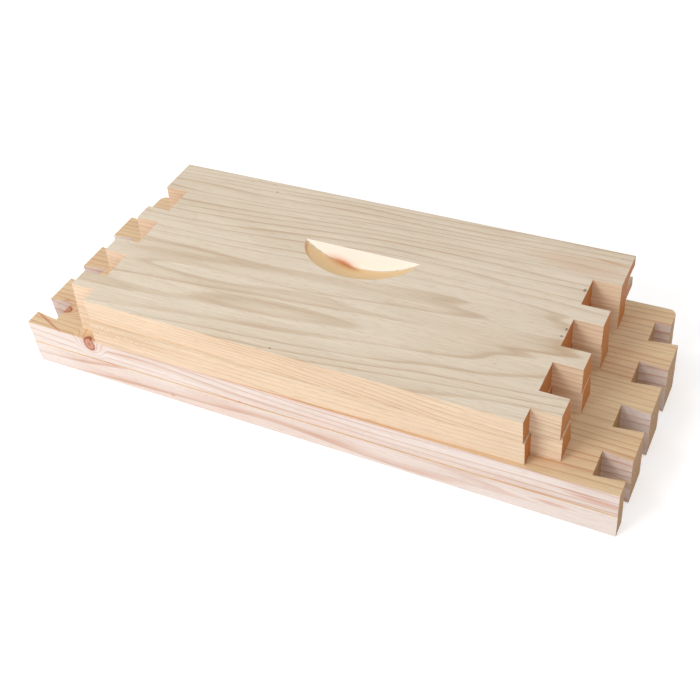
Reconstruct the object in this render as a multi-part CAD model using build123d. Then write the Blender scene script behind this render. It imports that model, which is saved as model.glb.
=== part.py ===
from build123d import *
import os
from math import cos, radians, sin, tan

# Flat-packed dovetailed hive body, in millimetres.
# Four loose boards lie on top of each other with their grain along X:
# two long side boards below, two short end boards above, outer faces up.
# Y runs from the hive's bottom edge (front) to its top edge (back), Z is up.
# The origin is on the floor, under the middle of the stack.

# Boards
side_length = 505.0  # side board, over its tails
end_length = 409.0  # end board, over its pins
board_width = 192.0  # height of the hive wall once it stands
side_thickness = 21.5
end_thickness = 21.5
edge_round = 0.2  # eased long edges

# Dovetails: tails on the side boards, pins on the end boards
pin_proud = 0.5  # how far tails and pins stand past the board they join
first_tail = 14.0  # half tail at the hive's bottom edge, at its tip
tail_tip = 29.2
pin_tip = 17.6  # gap between two tails at their tips
dovetail_angle = 7.0
joint_fit = 0.15  # clearance on each flank of a pin

# Frame rest: the step along the top inner edge of each end board
rest_height = 18.6
rest_depth = 12.5
rest_fit = 0.3  # clearance of the short top tail in the step
tail_corner = 6.0  # round on the short top tail

# Handhold: the pocket that a tilted, crowned disc cutter leaves
hold_from_top = 63.2  # from the hive's top edge to the straight ledge
hold_shift = 1.8  # off the middle of the board, along X
hold_length = 102.0  # along the ledge
hold_depth = 12.5  # of the ledge, square to the board
hold_run = 33.6  # from the ledge to the far rim of the pocket
hold_tilt = 28.0
hold_crown = 2.0  # bulge of the cutter's rim

# How each board lies: its shift along X and Y, and its turn in degrees
lie = {
    "lower_side_board": (0.0, 0.0, 0.0),
    "upper_side_board": (-0.3, 0.9, 0.0),
    "lower_end_board": (2.6, 1.9, 0.6),
    "upper_end_board": (1.4, 3.4, 0.0),
}

# Worked out from the sizes above
side_notch = end_thickness + pin_proud  # depth of the gap between two tails
end_notch = side_thickness + pin_proud  # depth of the gap between two pins
slope = tan(radians(dovetail_angle))
pitch = tail_tip + pin_tip
tail_room = board_width - first_tail - pin_tip - rest_height
tail_count = int(tail_room // pitch)
rest_edge = board_width - rest_height
past = 1.0  # how far a cutting tool reaches past the wood


def slab(low, high):
    """Block between its lowest and its highest corner."""
    size = [b - a for a, b in zip(low, high)]
    centre = [(a + b) / 2 for a, b in zip(low, high)]
    return Pos(*centre) * Box(*size)


def both_ends(board, tool):
    """Cut the same tool out of the board's +X end and its -X end."""
    return board - tool - mirror(tool, Plane.YZ)


def plank(length, thickness):
    """Plain board with eased long edges, centred on X."""
    board = slab((-length / 2, 0, 0), (length / 2, board_width, thickness))
    return fillet(board.edges().filter_by(Axis.X), edge_round)


def pin_edges():
    """Front and back edge of each pin's seat at the tails' tips."""
    fronts = [first_tail + number * pitch for number in range(tail_count + 1)]
    edges = [(front, front + pin_tip) for front in fronts[:-1]]
    return edges + [(fronts[-1], rest_edge)]


def pin_seat(front, back):
    """Gap between two tails at the +X end, wider at its bottom."""
    tip = side_length / 2
    bottom = tip - side_notch
    top_seat = back == rest_edge
    back_slope = 0 if top_seat else slope
    outline = Polyline(
        (bottom, front - side_notch * slope),
        (tip + past, front + past * slope),
        (tip + past, back - past * back_slope),
        (bottom, back + side_notch * back_slope),
        close=True,
    )
    tool = extrude(make_face(outline), side_thickness + 2 * past)
    return Pos(0, 0, -past) * tool


def top_tail_trim():
    """What is cut off the top tail, so that it only fills the frame rest."""
    tip = side_length / 2 - side_notch + rest_depth - rest_fit
    low = (tip, rest_edge - past, -past)
    high = (side_length / 2 + past, board_width + past, side_thickness + past)
    corner_low = (tip - tail_corner, board_width - tail_corner, -past)
    height = side_thickness + 2 * past
    round_axis = Pos(tip - tail_corner, board_width - tail_corner, side_thickness / 2)
    corner = slab(corner_low, high) - round_axis * Cylinder(tail_corner, height)
    return slab(low, high) + corner


def side_board():
    """Long board with tails at both ends."""
    board = plank(side_length, side_thickness)
    for front, back in pin_edges():
        board = both_ends(board, pin_seat(front, back))
    return both_ends(board, top_tail_trim())


def tail_seat(front, back):
    """Gap between two pins at the +X end; the outer face is up."""
    flank = end_thickness * slope
    inner_front = front + flank if front > 0 else front
    points = [
        (front, end_thickness + past),
        (front, end_thickness),
        (inner_front, 0),
        (inner_front, -past),
        (back - flank, -past),
        (back - flank, 0),
        (back, end_thickness),
        (back, end_thickness + past),
    ]
    outline = Plane.YZ * Polyline(*points, close=True)
    tool = extrude(make_face(outline), end_notch + past)
    return Pos(end_length / 2 - end_notch, 0, 0) * tool


def frame_rest():
    """Step along the top inner edge, which is the back lower edge here."""
    low = (-end_length / 2 - past, rest_edge - rest_fit, -past)
    high = (end_length / 2 + past, board_width + past, rest_depth)
    return slab(low, high)


def crowned_rim():
    """Section of the cutter: X runs along its axis from the ledge, Y out to its rim.

    Returns the section and the height of the axis over the ledge's top edge.
    """
    tilt = radians(hold_tilt)
    drop = hold_depth / cos(tilt)
    height = ((hold_length / 2) ** 2 - drop**2) / (2 * drop)
    near = Vector(0, height + drop)
    far = Vector(hold_run * cos(tilt), height + hold_run * sin(tilt))
    chord = far - near
    half = chord.length / 2
    rim_radius = (half**2 + hold_crown**2) / (2 * hold_crown)
    outward = Vector(-chord.Y, chord.X).normalized()
    middle = near + chord / 2 - outward * (rim_radius - hold_crown)
    rim = Pos(middle.X, middle.Y) * Circle(rim_radius)
    width = far.X + past
    band = Pos(width / 2, height + drop) * Rectangle(width, height)
    return rim & band, height


def handhold():
    """Disc cutter whose flat side makes the ledge and whose rim the floor."""
    section, height = crowned_rim()
    ledge_edge = Pos(hold_shift, board_width - hold_from_top, end_thickness)
    ring = revolve(section, Axis.X)
    return ledge_edge * Rot(-hold_tilt, 0, 0) * Pos(0, 0, height) * Rot(0, 0, -90) * ring


def end_board():
    """Short board with pins at both ends, frame rest and handhold."""
    board = plank(end_length, end_thickness)
    gap_front = -past
    for front, back in pin_edges():
        board = both_ends(board, tail_seat(gap_front, front + joint_fit))
        gap_front = back - joint_fit
    return board - frame_rest() - handhold()


def stack():
    """The four boards where they lie, by name, centred over the origin."""
    side = side_board()
    end = end_board()
    order = [
        ("lower_side_board", side, 0),
        ("upper_side_board", side, side_thickness),
        ("lower_end_board", end, 2 * side_thickness),
        ("upper_end_board", end, 2 * side_thickness + end_thickness),
    ]
    boards = {}
    for name, board, height in order:
        x, y, turn = lie[name]
        boards[name] = Pos(x, y, height) * Rot(0, 0, turn) * board
    middle = Compound(list(boards.values())).bounding_box().center()
    return {name: Pos(-middle.X, -middle.Y, 0) * board for name, board in boards.items()}


os.makedirs("parts", exist_ok=True)
for name, board in stack().items():
    export_step(board, f"parts/{name}.step")
    box = board.bounding_box()
    print(name, round(board.volume), box.min, box.max)
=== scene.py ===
from math import radians

import bmesh
import bpy
from bpy.props import FloatProperty, FloatVectorProperty, PointerProperty
from bpy.types import Operator, Panel, PropertyGroup
from mathutils import Matrix, Vector


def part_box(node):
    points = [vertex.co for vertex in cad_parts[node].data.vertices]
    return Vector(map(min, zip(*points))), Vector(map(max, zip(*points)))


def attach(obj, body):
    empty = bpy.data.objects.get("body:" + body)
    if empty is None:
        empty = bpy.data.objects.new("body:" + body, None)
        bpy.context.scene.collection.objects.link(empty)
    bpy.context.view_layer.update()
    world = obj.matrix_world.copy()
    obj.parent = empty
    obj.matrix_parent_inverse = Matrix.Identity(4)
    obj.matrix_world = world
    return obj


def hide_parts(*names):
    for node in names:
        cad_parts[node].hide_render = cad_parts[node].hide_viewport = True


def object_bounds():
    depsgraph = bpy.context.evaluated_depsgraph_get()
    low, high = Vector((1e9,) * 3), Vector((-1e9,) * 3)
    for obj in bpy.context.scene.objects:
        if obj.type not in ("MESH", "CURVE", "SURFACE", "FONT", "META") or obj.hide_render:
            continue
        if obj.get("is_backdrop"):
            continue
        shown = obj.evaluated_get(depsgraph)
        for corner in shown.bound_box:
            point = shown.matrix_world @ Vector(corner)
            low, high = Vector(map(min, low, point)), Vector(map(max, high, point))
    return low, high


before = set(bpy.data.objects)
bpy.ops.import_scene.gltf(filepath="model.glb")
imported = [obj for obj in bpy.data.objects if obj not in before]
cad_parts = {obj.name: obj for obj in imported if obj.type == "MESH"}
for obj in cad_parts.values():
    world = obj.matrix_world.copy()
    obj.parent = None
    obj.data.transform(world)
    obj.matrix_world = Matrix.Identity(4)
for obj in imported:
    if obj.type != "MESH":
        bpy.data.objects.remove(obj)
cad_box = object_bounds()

bl_info = {
    "name": "Flat-packed hive body",
    "version": (1, 0, 0),
    "blender": (4, 5, 0),
    "location": "3D View > Sidebar > Hive",
    "description": "Bare pine boards of a dovetailed hive body, stacked before assembly",
    "category": "Object",
}

MM = 0.001
PER_METRE = 1000.0  # millimetres in a metre

# Handhold and notches of an end board, in millimetres
HOLD_SHIFT = 1.8  # off the middle of the board
HOLD_FROM_TOP = 63.2  # from the hive's top edge to the straight ledge
HOLD_HALF_LENGTH = 51
HOLD_RUN = 33.6  # from the ledge to where the floor runs out
HOLD_REACH = 30  # more than the handhold's depth
NOTCH_DEPTH = 22.0

# Angles in a board's mesh, in degrees, and how near its loose corners are merged, in millimetres
FLAT_BELOW = 0.5
SHARP_ABOVE = 35
MERGE_WITHIN = 0.01


def linear(code):
    """Linear RGB of an sRGB hex colour."""
    parts = [int(code[i:i + 2], 16) / 255 for i in (1, 3, 5)]
    return [p / 12.92 if p <= 0.04045 else ((p + 0.055) / 1.055) ** 2.4 for p in parts]


def colour(name, about, code):
    """A colour property whose default is an sRGB hex colour."""
    return FloatVectorProperty(
        name=name, description=about, subtype="COLOR", size=3, min=0, max=1, default=linear(code)
    )


def size(name, about, millimetres):
    """A length property whose default is given in millimetres."""
    return FloatProperty(name=name, description=about, unit="LENGTH", default=millimetres * MM)


# ---------------------------------------------------------------- settings


class SidePineSettings(PropertyGroup):
    """Colours of the two long side boards."""

    face: colour("Face", "Planed wide faces", "#E9CDA4")
    edge: colour("Edge", "Sawn long edges and tail flanks", "#F0E2DA")
    end: colour("End grain", "Sawn tips of the tails", "#A98453")
    late: colour("Late wood", "Dark line of each growth ring", "#C98F68")
    knot: colour("Knot", "Bark line and heart of a knot", "#7E3A22")
    resin: colour("Resin", "Resin streaks and flushed wood", "#C9805A")
    rings: size("Ring spacing", "Width of one growth ring", 5.0)


class EndPineSettings(PropertyGroup):
    """Colours of the two short end boards."""

    face: colour("Face", "Planed wide faces", "#E9DAC4")
    edge: colour("Edge", "Sawn long edges and pin flanks", "#EFD4B6")
    end: colour("End grain", "Sawn tips of the pins", "#BE7230")
    late: colour("Late wood", "Dark line of each growth ring", "#BD9568")
    knot: colour("Speck", "Small dark specks", "#5A3A22")
    # The resin colour also draws the painted shadow line inside the left part of the handhold's rim
    resin: colour("Resin", "Brown streak in the handhold", "#C97A3A")
    cut_floor: colour("Cut floor", "Sloping floor of the handhold, cut across the fibres", "#ECC995")
    # Painted highlight: the handhold's ledge side, which faces the lamp, drawn whiter than the wood
    cut_ledge_painted_highlight: colour("Cut ledge", "Upright ledge of the handhold, freshly cut", "#FFF4E8")
    rings: size("Ring spacing", "Width of one growth ring", 3.6)


class BoardSettings(PropertyGroup):
    """Sizes shared by all four boards."""

    arris: size("Arris", "Width of the worn edge along each sharp corner", 0.15)
    fibre_width: size("Fibre width", "Width of a bundle of fibres, drawn coarse enough to show", 0.7)


class StageSettings(PropertyGroup):
    """Floor, light and camera."""

    floor: colour("Floor", "Pale floor under the boards", "#F4F4F4")
    lift: FloatProperty(name="Lift", description="Glow that whitens the floor", default=0.42, min=0)
    sky: FloatProperty(name="Sky", description="Strength of the even light", default=0.66, min=0, max=1)
    key: FloatProperty(
        name="Key", description="Power of the front lamp", unit="POWER", default=11.0, min=0
    )
    lens: size("Focal length", "Focal length of the camera on a 36 mm sensor", 54.09)


# --------------------------------------------------------------- materials

# Levels of one growth ring: pale early wood, a thin dark late wood line and the next spring
RING_STOPS = ((0.0, 0.0), (0.5, 0.08), (0.74, 0.3), (0.87, 1.0), (0.94, 0.8), (1.0, 0.0))

# Colour inputs of a mix node, and what makes it mix colours
UNDER, OVER = 6, 7
COLOUR_MIX = {"data_type": "RGBA", "out": 2}

# Pattern scales, in repeats per millimetre along X, Y and Z
DRIFT_SCALE = (0.0022, 0.012, 0.012)  # the tree bends over 450 mm of length and 80 mm of width
YEARS_SCALE = (0, 0.07, 0.07)  # good and bad years follow each other over 14 mm
YEARS_SHIFT = 1.6  # most ring spacings that they move a ring
FIBRE_SCALE = 0.02  # along X: fibres 50 mm long
CANAL_SCALE = (0.11, 1.4, 1.4)  # dashes 9 mm long and 0.7 mm wide, coarser than real to show
PATCH_SCALE = (0.006, 0.03, 0.03)  # patches 170 mm long and 30 mm wide
GRIT_SCALE = 1.1  # torn fibres 0.9 mm wide

# Parts of a knot, as shares of its half sizes
RING_REACH = 3  # how far out the rings round it bend
RING_SWELL = 1.8  # how far they bulge
KNOT_HALO = 1.7
KNOT_PITH = 0.4


def add(tree, kind, inputs=None, out=0, **settings):
    """Add a node, set it up, link or fill its inputs and give back one output."""
    node = tree.nodes.new(kind)
    for key, value in settings.items():
        setattr(node, key, value)
    for key, value in (inputs or {}).items():
        socket = node.inputs[key]
        if isinstance(value, bpy.types.NodeSocket):
            tree.links.new(value, socket)
        else:
            socket.default_value = value
    return node.outputs[out]


def rgba(values):
    """Colour with full alpha for a colour socket."""
    return (*values, 1.0)


def mark_mask(tree, place, centre, half, turn=0.0, soft=0.5):
    """One inside an ellipsoid in millimetres, fading to zero over its rim."""
    ellipsoid = {"Vector": place, "Location": centre, "Rotation": (0, 0, radians(turn)), "Scale": half}
    inside = add(tree, "ShaderNodeMapping", ellipsoid, vector_type="TEXTURE")
    reach = add(tree, "ShaderNodeVectorMath", {0: inside}, out="Value", operation="LENGTH")
    fade = {"Value": reach, "From Min": 1.0 - soft, "From Max": 1.0, "To Min": 1.0, "To Max": 0.0}
    return add(tree, "ShaderNodeMapRange", fade, interpolation_type="SMOOTHSTEP")


def rim_mask(tree, place, centre, half, width):
    """One on a thin line just inside the outline of an ellipsoid in millimetres."""
    outer = mark_mask(tree, place, centre, half, soft=width)
    inner = mark_mask(tree, place, centre, [(1 - width) * h for h in half], soft=width)
    return add(tree, "ShaderNodeMath", {0: outer, 1: inner}, operation="SUBTRACT")


def growth_rings(tree, place, spacing, log):
    """Level of the growth rings where the board cuts through the tree."""
    bent = add(tree, "ShaderNodeMapping", {"Vector": place, "Location": log["seed"], "Scale": DRIFT_SCALE})
    noise = {"Vector": bent, "Scale": 1.0, "Detail": 2.0, "Roughness": 0.45}
    drift = add(tree, "ShaderNodeTexNoise", noise, out="Color")
    centred = add(tree, "ShaderNodeVectorMath", {0: drift, 1: (0.5, 0.5, 0.5)}, operation="SUBTRACT")
    wander = (0, log["wander"], log["wander"])
    swing = add(tree, "ShaderNodeVectorMath", {0: centred, 1: wander}, operation="MULTIPLY")
    moved = add(tree, "ShaderNodeVectorMath", {0: place, 1: swing}, operation="ADD")
    tilt = (0, *[radians(angle) for angle in log["tilt"]])
    tree_axis = {"Vector": moved, "Location": (0, *log["heart"]), "Rotation": tilt}
    from_heart = add(tree, "ShaderNodeMapping", tree_axis, vector_type="TEXTURE")
    flat = add(tree, "ShaderNodeVectorMath", {0: from_heart, 1: (0, 1, 1)}, operation="MULTIPLY")
    radius = add(tree, "ShaderNodeVectorMath", {0: flat}, out="Value", operation="LENGTH")
    for centre, half in log["knots"]:
        swell = mark_mask(tree, place, centre, [RING_REACH * h for h in half], soft=1.0)
        grown = {0: swell, 1: RING_SWELL * max(half), 2: radius}
        radius = add(tree, "ShaderNodeMath", grown, operation="MULTIPLY_ADD")
    even = add(tree, "ShaderNodeMath", {0: radius, 1: spacing * PER_METRE}, operation="DIVIDE")
    years = add(tree, "ShaderNodeVectorMath", {0: flat, 1: YEARS_SCALE}, operation="MULTIPLY")
    good = add(tree, "ShaderNodeTexNoise", {"Vector": years, "Scale": 1.0, "Detail": 1.0})
    phase = add(tree, "ShaderNodeMath", {0: good, 1: YEARS_SHIFT, 2: even}, operation="MULTIPLY_ADD")
    phase = add(tree, "ShaderNodeMath", {0: phase}, operation="FRACT")
    level = add(tree, "ShaderNodeValToRGB", {"Fac": phase})
    stops = level.node.color_ramp.elements
    while len(stops) < len(RING_STOPS):
        stops.new(0.5)
    for stop, (position, shade) in zip(stops, RING_STOPS):
        stop.position = position
        stop.color = (shade, shade, shade, 1)
    return level


def wood_marks(tree, place, tones, log, floor, ledge):
    """Masks, strengths and colours of all that marks one board, bottom layer first.

    floor and ledge are one where the surface faces as those sides of a handhold do. The ledge's near-white
    colour is a painted highlight where that side faces the lamp, and the thin dark line inside the left
    part of the rim is a painted shadow.
    """
    marks = []
    for centre, half in log["cuts"]:
        inside = mark_mask(tree, place, centre, half, soft=0.02)
        # The floor keeps the tan of wood cut across the fibres; the ledge side is drawn near white, a
        # painted highlight where it faces the lamp
        for side, tone in ((floor, tones.cut_floor), (ledge, tones.cut_ledge_painted_highlight)):
            part = add(tree, "ShaderNodeMath", {0: inside, 1: side}, operation="MULTIPLY")
            marks.append((part, 0.95, tone))
        # Painted shadow: a thin dark line just inside the left part of the rim, where the floor drops in a
        # small step
        left = mark_mask(tree, place, (centre[0] - half[0], centre[1], centre[2]), half, soft=0.7)
        rim = rim_mask(tree, place, centre, half, 0.05)
        rim = add(tree, "ShaderNodeMath", {0: rim, 1: floor}, operation="MULTIPLY")
        rim = add(tree, "ShaderNodeMath", {0: rim, 1: left}, operation="MULTIPLY")
        marks.append((rim, 0.6, tones.resin))
    for centre, half, turn, strength in log["streaks"]:
        marks.append((mark_mask(tree, place, centre, half, turn, 0.75), strength, tones.resin))
    for centre, half in log["torn"]:
        noise = {"Vector": place, "Scale": GRIT_SCALE, "Detail": 2.0, "Roughness": 0.7}
        noise = add(tree, "ShaderNodeTexNoise", noise)
        grit = add(tree, "ShaderNodeMapRange", {"Value": noise, "From Min": 0.46, "From Max": 0.6})
        inside = mark_mask(tree, place, centre, half, soft=0.9)
        part = add(tree, "ShaderNodeMath", {0: inside, 1: grit}, operation="MULTIPLY")
        marks.append((part, 0.6, tones.late))
    for centre, half in log["knots"]:
        halo, pith = ([share * h for h in half] for share in (KNOT_HALO, KNOT_PITH))
        marks.append((mark_mask(tree, place, centre, halo, soft=0.7), 0.35, tones.resin))
        marks.append((mark_mask(tree, place, centre, half, soft=0.3), 0.75, tones.resin))
        marks.append((rim_mask(tree, place, centre, half, 0.22), 0.8, tones.knot))
        marks.append((mark_mask(tree, place, centre, pith, soft=0.8), 0.5, tones.knot))
    for centre, half in log["specks"]:
        marks.append((mark_mask(tree, place, centre, half, soft=0.6), 0.7, tones.knot))
    return marks


def sawn_pine(name, tones, sizes, log):
    """Radiata pine, machine planed and sawn, bare.

    It gives the eye pale wood with thin growth rings that run into cathedral
    arches on wide faces, fine silky fibres along X, short dark resin canals,
    a lighter sawn edge and a darker, dry end grain.
    log holds the place of the tree's heart, the tilt of the cut and the marks.
    """
    material = bpy.data.materials.new(name)
    material.use_nodes = True
    tree = material.node_tree
    shader = tree.nodes["Principled BSDF"]
    position = add(tree, "ShaderNodeTexCoord", out="Object")
    place = add(tree, "ShaderNodeVectorMath", {0: position, "Scale": PER_METRE}, operation="SCALE")
    rings = growth_rings(tree, place, tones.rings, log)

    across = 1.0 / (sizes.fibre_width * PER_METRE)
    strands = add(tree, "ShaderNodeMapping", {"Vector": place, "Scale": (FIBRE_SCALE, across, across)})
    strands = {"Vector": strands, "Scale": 1.0, "Detail": 3.0, "Roughness": 0.65}
    fibre = add(tree, "ShaderNodeTexNoise", strands)
    dashes = add(tree, "ShaderNodeMapping", {"Vector": place, "Scale": CANAL_SCALE})
    dashes = add(tree, "ShaderNodeTexNoise", {"Vector": dashes, "Scale": 1.0, "Detail": 1.0})
    canals = add(tree, "ShaderNodeMapRange", {"Value": dashes, "From Min": 0.6, "From Max": 0.72})
    area = add(tree, "ShaderNodeMapping", {"Vector": place, "Location": log["seed"], "Scale": PATCH_SCALE})
    patch = add(tree, "ShaderNodeTexNoise", {"Vector": area, "Scale": 1.0, "Detail": 2.0})

    # Which way the surface faces: wide face, long edge, end grain, and the two sides of a handhold
    facing = add(tree, "ShaderNodeTexCoord", out="Normal")
    along, deep, up = (
        add(tree, "ShaderNodeSeparateXYZ", {0: facing}, out=axis) for axis in ("X", "Y", "Z")
    )
    along = add(tree, "ShaderNodeMath", {0: along}, operation="ABSOLUTE")
    up = add(tree, "ShaderNodeMath", {0: up}, operation="ABSOLUTE")
    on_face = add(tree, "ShaderNodeMapRange", {"Value": up, "From Min": 0.5, "From Max": 0.8})
    on_end = add(tree, "ShaderNodeMapRange", {"Value": along, "From Min": 0.5, "From Max": 0.8})
    floor = add(tree, "ShaderNodeMapRange", {"Value": deep, "From Min": 0.1, "From Max": 0.2})
    # The ledge side faces the lamp; the near-white colour it gets in the handhold is a painted highlight
    ledge = add(tree, "ShaderNodeMapRange", {"Value": deep, "From Min": -0.2, "From Max": -0.5})

    # Early wood takes the colour of the surface it is on, and late wood darkens it
    edge_or_face = {0: on_face, UNDER: rgba(tones.edge), OVER: rgba(tones.face)}
    early = add(tree, "ShaderNodeMix", edge_or_face, **COLOUR_MIX)
    early = add(tree, "ShaderNodeMix", {0: on_end, UNDER: early, OVER: rgba(tones.end)}, **COLOUR_MIX)
    darker = {0: 1.0, UNDER: early, OVER: rgba(tones.late)}
    late = add(tree, "ShaderNodeMix", darker, blend_type="MULTIPLY", **COLOUR_MIX)
    warmer = {0: log["late_warmth"], UNDER: late, OVER: rgba(tones.late)}
    late = add(tree, "ShaderNodeMix", warmer, **COLOUR_MIX)
    # Rings stand out in the warm patches and fade between them
    fading = {"Value": patch, "From Min": 0.35, "From Max": 0.65, "To Min": 0.45, "To Max": 1.15}
    standing = add(tree, "ShaderNodeMapRange", fading)
    depth = add(tree, "ShaderNodeMath", {0: rings, 1: log["ring_depth"]}, operation="MULTIPLY")
    depth = add(tree, "ShaderNodeMath", {0: depth, 1: standing}, operation="MULTIPLY")
    wood = add(tree, "ShaderNodeMix", {0: depth, UNDER: early, OVER: late}, **COLOUR_MIX)
    darkening = {"Value": fibre, "From Min": 0.35, "From Max": 0.7, "To Min": 1.05, "To Max": 0.86}
    shade = add(tree, "ShaderNodeMapRange", darkening)
    grey = add(tree, "ShaderNodeCombineColor", {0: shade, 1: shade, 2: shade})
    fibrous = {0: 1.0, UNDER: wood, OVER: grey}
    wood = add(tree, "ShaderNodeMix", fibrous, blend_type="MULTIPLY", **COLOUR_MIX)

    warm = add(tree, "ShaderNodeMapRange", {"Value": patch, "From Min": 0.45, "From Max": 0.75})
    marks = [(warm, log["warm_patches"], tones.late), (canals, 0.3, tones.late)]
    for mask, strength, tone in marks + wood_marks(tree, place, tones, log, floor, ledge):
        amount = add(tree, "ShaderNodeMath", {0: mask, 1: strength}, operation="MULTIPLY")
        wood = add(tree, "ShaderNodeMix", {0: amount, UNDER: wood, OVER: rgba(tone)}, **COLOUR_MIX)
    tree.links.new(wood, shader.inputs["Base Color"])

    rough = add(tree, "ShaderNodeMapRange", {"Value": rings, "To Min": 0.66, "To Max": 0.52})
    tree.links.new(rough, shader.inputs["Roughness"])
    relief = add(tree, "ShaderNodeMath", {0: rings, 1: 0.5, 2: fibre}, operation="MULTIPLY_ADD")
    bump = {"Strength": 0.25, "Distance": 0.2 * MM, "Height": relief}
    tree.links.new(add(tree, "ShaderNodeBump", bump), shader.inputs["Normal"])
    return material


# ------------------------------------------------------------------ boards


def corners_of(node):
    """Lowest and highest corners of a CAD node, in millimetres."""
    return [Vector(corner) * PER_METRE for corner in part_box(node)]


def eased_board(node, name, arris):
    """Copy of a board with every sharp corner worn into a small round."""
    work = bmesh.new()
    work.from_mesh(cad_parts[node].data)
    bmesh.ops.remove_doubles(work, verts=work.verts, dist=MERGE_WITHIN * MM)
    bmesh.ops.dissolve_limit(work, angle_limit=radians(FLAT_BELOW), verts=work.verts, edges=work.edges)
    sharp = [e for e in work.edges if e.is_manifold and e.calc_face_angle() > radians(SHARP_ABOVE)]
    rounding = {"affect": "EDGES", "segments": 2, "profile": 0.5, "material": -1, "clamp_overlap": True}
    bmesh.ops.bevel(work, geom=sharp, offset=arris, **rounding)
    mesh = bpy.data.meshes.new(name)
    work.to_mesh(mesh)
    work.free()
    board = bpy.data.objects.new(name, mesh)
    bpy.context.scene.collection.objects.link(board)
    return board


def lay_board(node, body, name, tones, log):
    """Stand an eased, finished board in for a CAD board."""
    sizes = bpy.context.scene.hive_boards
    board = eased_board(node, name, sizes.arris)
    board.data.materials.append(sawn_pine("sawn_" + name, tones, sizes, log))
    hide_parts(node)
    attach(board, body)


def pine_log(heart, tilt, seed, **changes):
    """Where a board was cut from the tree, and what marks it.

    heart is the Y and Z of the tree's heart in millimetres, and tilt its turn
    about Y and Z in degrees. Marks are centres and half sizes in millimetres,
    and a streak also has its turn about Z in degrees and its strength.
    """
    log = {
        "heart": heart,
        "tilt": tilt,
        "seed": seed,
        "wander": 24.0,
        "ring_depth": 0.5,
        "late_warmth": 0.3,
        "warm_patches": 0.3,
    }
    log.update({kind: [] for kind in ("knots", "specks", "cuts", "streaks", "torn")})
    log.update(changes)
    return log


class HIVE_OT_side_boards(Operator):
    """Finish the two long side boards with their tails"""

    bl_idname = "hive.side_boards"
    bl_label = "Side boards"

    def execute(self, context):
        tones = context.scene.hive_side_pine
        (left, front, _), (right, _, top) = corners_of("upper_side_board")
        marks = {
            # One knot on the front edge and one on the second tail from the front
            "knots": [
                ((left + 63.5, front, top - 5), (6, 6, 8)),
                ((left + 21, front + 25, top), (8, 4.5, 4)),
            ],
            "streaks": [
                # Resin on the front left tails
                ((left + 17, front + 7, top), (30, 1.6, 2.5), -22, 0.85),
                ((left + 22, front + 31, top), (22, 2, 3), 12, 0.4),
                # Flushed wood along the front corner
                (((left + right) / 2, front, top), (260, 13, 3), 0, 0.3),
                # Red flame at the right of the front edge, and one red speck
                ((right - 12, front, top - 12), (34, 3, 3), 0, 0.55),
                ((right - 30, front, top - 9), (26, 3, 1), 0, 0.6),
                ((left + 206, front, top - 21), (2, 3, 1.2), 0, 0.8),
            ],
        }
        log = pine_log((-190, -60), (2.5, 1.5), (3, 7, 1), ring_depth=0.6, **marks)
        lay_board("upper_side_board", "upper_side", "upper_side_pine", tones, log)

        (left, front, low), (right, _, _) = corners_of("lower_side_board")
        # A red speck and a flushed patch, both on the front edge
        streaks = [
            ((left + 139, front, low + 6), (3, 3, 1.2), 0, 0.8),
            ((right - 46, front, low + 15), (20, 3, 3), 0, 0.4),
        ]
        log = pine_log((-230, 40), (1.5, -1.2), (11, 2, 5), ring_depth=0.6, streaks=streaks)
        lay_board("lower_side_board", "lower_side", "lower_side_pine", tones, log)
        return {"FINISHED"}


class HIVE_OT_end_boards(Operator):
    """Finish the two short end boards with their pins, frame rests and handholds"""

    bl_idname = "hive.end_boards"
    bl_label = "End boards"

    def execute(self, context):
        tones = context.scene.hive_end_pine
        (left, front, _), (right, back, top) = corners_of("upper_end_board")
        middle = (left + right) / 2 + HOLD_SHIFT
        ledge = back - HOLD_FROM_TOP
        notch = right - NOTCH_DEPTH
        marks = {
            "cuts": [((middle, ledge, top), (HOLD_HALF_LENGTH, HOLD_RUN, HOLD_REACH))],
            # Two on the open face and three torn spots beside the right notches
            "specks": [
                ((middle - 15, front + 4, top), (1.6, 0.9, 1)),
                ((middle - 106, back - 13, top), (1.4, 0.8, 1)),
                ((notch - 2, ledge + 12, top), (1.6, 2.4, 0.8)),
                ((notch - 1.5, ledge - 33, top), (1.4, 1.8, 0.8)),
                ((notch - 2.5, ledge - 41, top), (1.8, 1.2, 0.8)),
            ],
            "streaks": [
                # Brown streak where the handhold's ledge meets its floor
                ((middle - 18, ledge - 7, top - 12), (28, 8, 8), -14, 0.45),
                ((middle - 17, ledge - 6, top - 12), (25, 3.5, 4), -16, 0.8),
                # Warm bands near the far right corner
                ((right - 34, back - 24, top), (60, 16, 8), -4, 0.2),
                ((right - 12, back - 14, top), (26, 2.4, 3), -4, 0.45),
            ],
        }
        depths = {"ring_depth": 0.5, "warm_patches": 0.18}
        log = pine_log((-30, -70), (1.2, 4.0), (5, 1, 9), **depths, **marks)
        lay_board("upper_end_board", "upper_end", "upper_end_pine", tones, log)

        (left, front, _), (_, _, top) = corners_of("lower_end_board")
        # Torn fibres on the left half of the front edge
        torn = [((left + 50, front, top - 5), (95, 8, 10))]
        log = pine_log((60, -90), (-1.0, 2.0), (8, 4, 2), ring_depth=0.4, torn=torn)
        lay_board("lower_end_board", "lower_end", "lower_end_pine", tones, log)
        return {"FINISHED"}


# ------------------------------------------------------------------- stage

# Half the floor's width, and the lamp's place and width, in metres
FLOOR_REACH = 6.0
LAMP_PLACE = (-0.55, -1.1, 1.0)
LAMP_WIDTH = 0.7

# Place of the camera in metres, and the directions it looks and holds to its right
CAMERA_PLACE = (0.3372, -0.5408, 0.6072)
CAMERA_FORWARD = (-0.38466, 0.61737, -0.68621)
CAMERA_RIGHT = (0.89162, 0.44089, -0.10313)
SENSOR_WIDTH = 36.0  # millimetres


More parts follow.
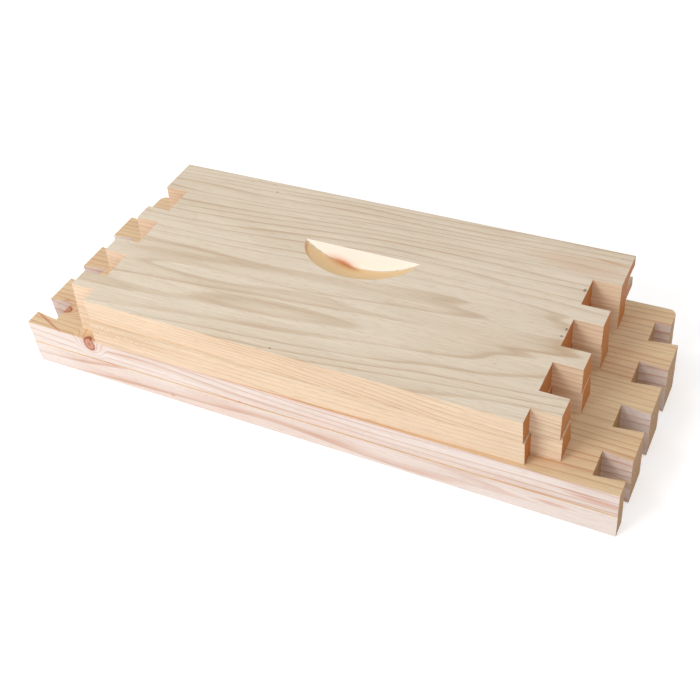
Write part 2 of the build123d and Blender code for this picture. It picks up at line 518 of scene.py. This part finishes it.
def straight_view(tree):
    """One where the camera, a reflection or a clear piece looks, zero for light on the object."""
    rays = ("Is Camera Ray", "Is Glossy Ray", "Is Transmission Ray")
    camera, glossy, clear = (add(tree, "ShaderNodeLightPath", out=ray) for ray in rays)
    either = add(tree, "ShaderNodeMath", {0: camera, 1: glossy}, operation="MAXIMUM")
    return add(tree, "ShaderNodeMath", {0: either, 1: clear}, operation="MAXIMUM")


def white_floor(tone, lift):
    """Matt painted floor that shows white around the boards and keeps their shadow."""
    material = bpy.data.materials.new("matt_white_floor")
    material.use_nodes = True
    tree = material.node_tree
    tree.nodes.remove(tree.nodes["Principled BSDF"])
    paint = add(tree, "ShaderNodeBsdfDiffuse", {"Color": rgba(tone)})
    strength = add(tree, "ShaderNodeMath", {0: straight_view(tree), 1: lift}, operation="MULTIPLY")
    glow = add(tree, "ShaderNodeEmission", {"Color": rgba((1, 1, 1)), "Strength": strength})
    both = add(tree, "ShaderNodeAddShader", {0: paint, 1: glow})
    tree.links.new(both, tree.nodes["Material Output"].inputs["Surface"])
    return material


def area_lamp(name, place, aim, width, power):
    """Soft square lamp that points from its place to its aim."""
    lamp = bpy.data.lights.new(name, "AREA")
    lamp.shape = "SQUARE"
    lamp.size = width
    lamp.energy = power
    holder = bpy.data.objects.new(name, lamp)
    bpy.context.scene.collection.objects.link(holder)
    turn = (Vector(aim) - Vector(place)).to_track_quat("-Z", "Y").to_matrix().to_4x4()
    holder.matrix_world = Matrix.Translation(place) @ turn


class HIVE_OT_stage(Operator):
    """Set up the floor, the sky, the soft lamp and the camera"""

    bl_idname = "hive.stage"
    bl_label = "Stage"

    def execute(self, context):
        scene = context.scene
        stage = scene.hive_stage
        work = bmesh.new()
        bmesh.ops.create_grid(work, x_segments=1, y_segments=1, size=FLOOR_REACH)
        bmesh.ops.translate(work, verts=work.verts, vec=(0, 0, cad_box[0][2]))
        mesh = bpy.data.meshes.new("floor")
        work.to_mesh(mesh)
        work.free()
        floor = bpy.data.objects.new("floor", mesh)
        scene.collection.objects.link(floor)
        mesh.materials.append(white_floor(stage.floor, stage.lift))
        floor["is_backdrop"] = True

        # The sky shows white but lights the boards with its own lower strength
        scene.world = bpy.data.worlds.new("soft_sky")
        scene.world.use_nodes = True
        tree = scene.world.node_tree
        level = {0: straight_view(tree), 1: 1.0 - stage.sky, 2: stage.sky}
        level = add(tree, "ShaderNodeMath", level, operation="MULTIPLY_ADD")
        back = tree.nodes["Background"]
        back.inputs["Color"].default_value = rgba((1, 1, 1))
        tree.links.new(level, back.inputs["Strength"])
        area_lamp("front_lamp", LAMP_PLACE, (0, 0, 0), LAMP_WIDTH, stage.key)

        lens = bpy.data.cameras.new("camera")
        lens.sensor_width = SENSOR_WIDTH
        lens.lens = stage.lens * PER_METRE
        camera = bpy.data.objects.new("camera", lens)
        scene.collection.objects.link(camera)
        forward, right = Vector(CAMERA_FORWARD), Vector(CAMERA_RIGHT)
        axes = Matrix((right, right.cross(forward), -forward)).transposed()
        camera.matrix_world = Matrix.Translation(CAMERA_PLACE) @ axes.to_4x4()
        scene.camera = camera
        scene.view_settings.view_transform = "Standard"
        return {"FINISHED"}


class HIVE_PT_panel(Panel):
    """Buttons and settings of the hive body"""

    bl_label = "Hive body"
    bl_idname = "HIVE_PT_panel"
    bl_space_type = "VIEW_3D"
    bl_region_type = "UI"
    bl_category = "Hive"

    def draw(self, context):
        for group in ("hive_boards", "hive_side_pine", "hive_end_pine", "hive_stage"):
            box = self.layout.box()
            settings = getattr(context.scene, group)
            for key in settings.__annotations__:
                box.prop(settings, key)
        for operator in OPERATORS:
            self.layout.operator(operator.bl_idname)


OPERATORS = (HIVE_OT_side_boards, HIVE_OT_end_boards, HIVE_OT_stage)
SETTINGS = {
    "hive_side_pine": SidePineSettings,
    "hive_end_pine": EndPineSettings,
    "hive_boards": BoardSettings,
    "hive_stage": StageSettings,
}


def register():
    """Register the settings, buttons and panel."""
    for group in (*SETTINGS.values(), *OPERATORS, HIVE_PT_panel):
        bpy.utils.register_class(group)
    for name, group in SETTINGS.items():
        setattr(bpy.types.Scene, name, PointerProperty(type=group))


def unregister():
    """Take out the panel, buttons and settings."""
    for name in SETTINGS:
        delattr(bpy.types.Scene, name)
    for group in reversed((*SETTINGS.values(), *OPERATORS, HIVE_PT_panel)):
        bpy.utils.unregister_class(group)


def main():
    """Build everything."""
    register()
    bpy.ops.hive.side_boards()
    bpy.ops.hive.end_boards()
    bpy.ops.hive.stage()
    boxes = {"cad": cad_box, "visual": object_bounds()}
    boxes = {name: [list(corner) for corner in box] for name, box in boxes.items()}


if __name__ == "__main__":
    main()
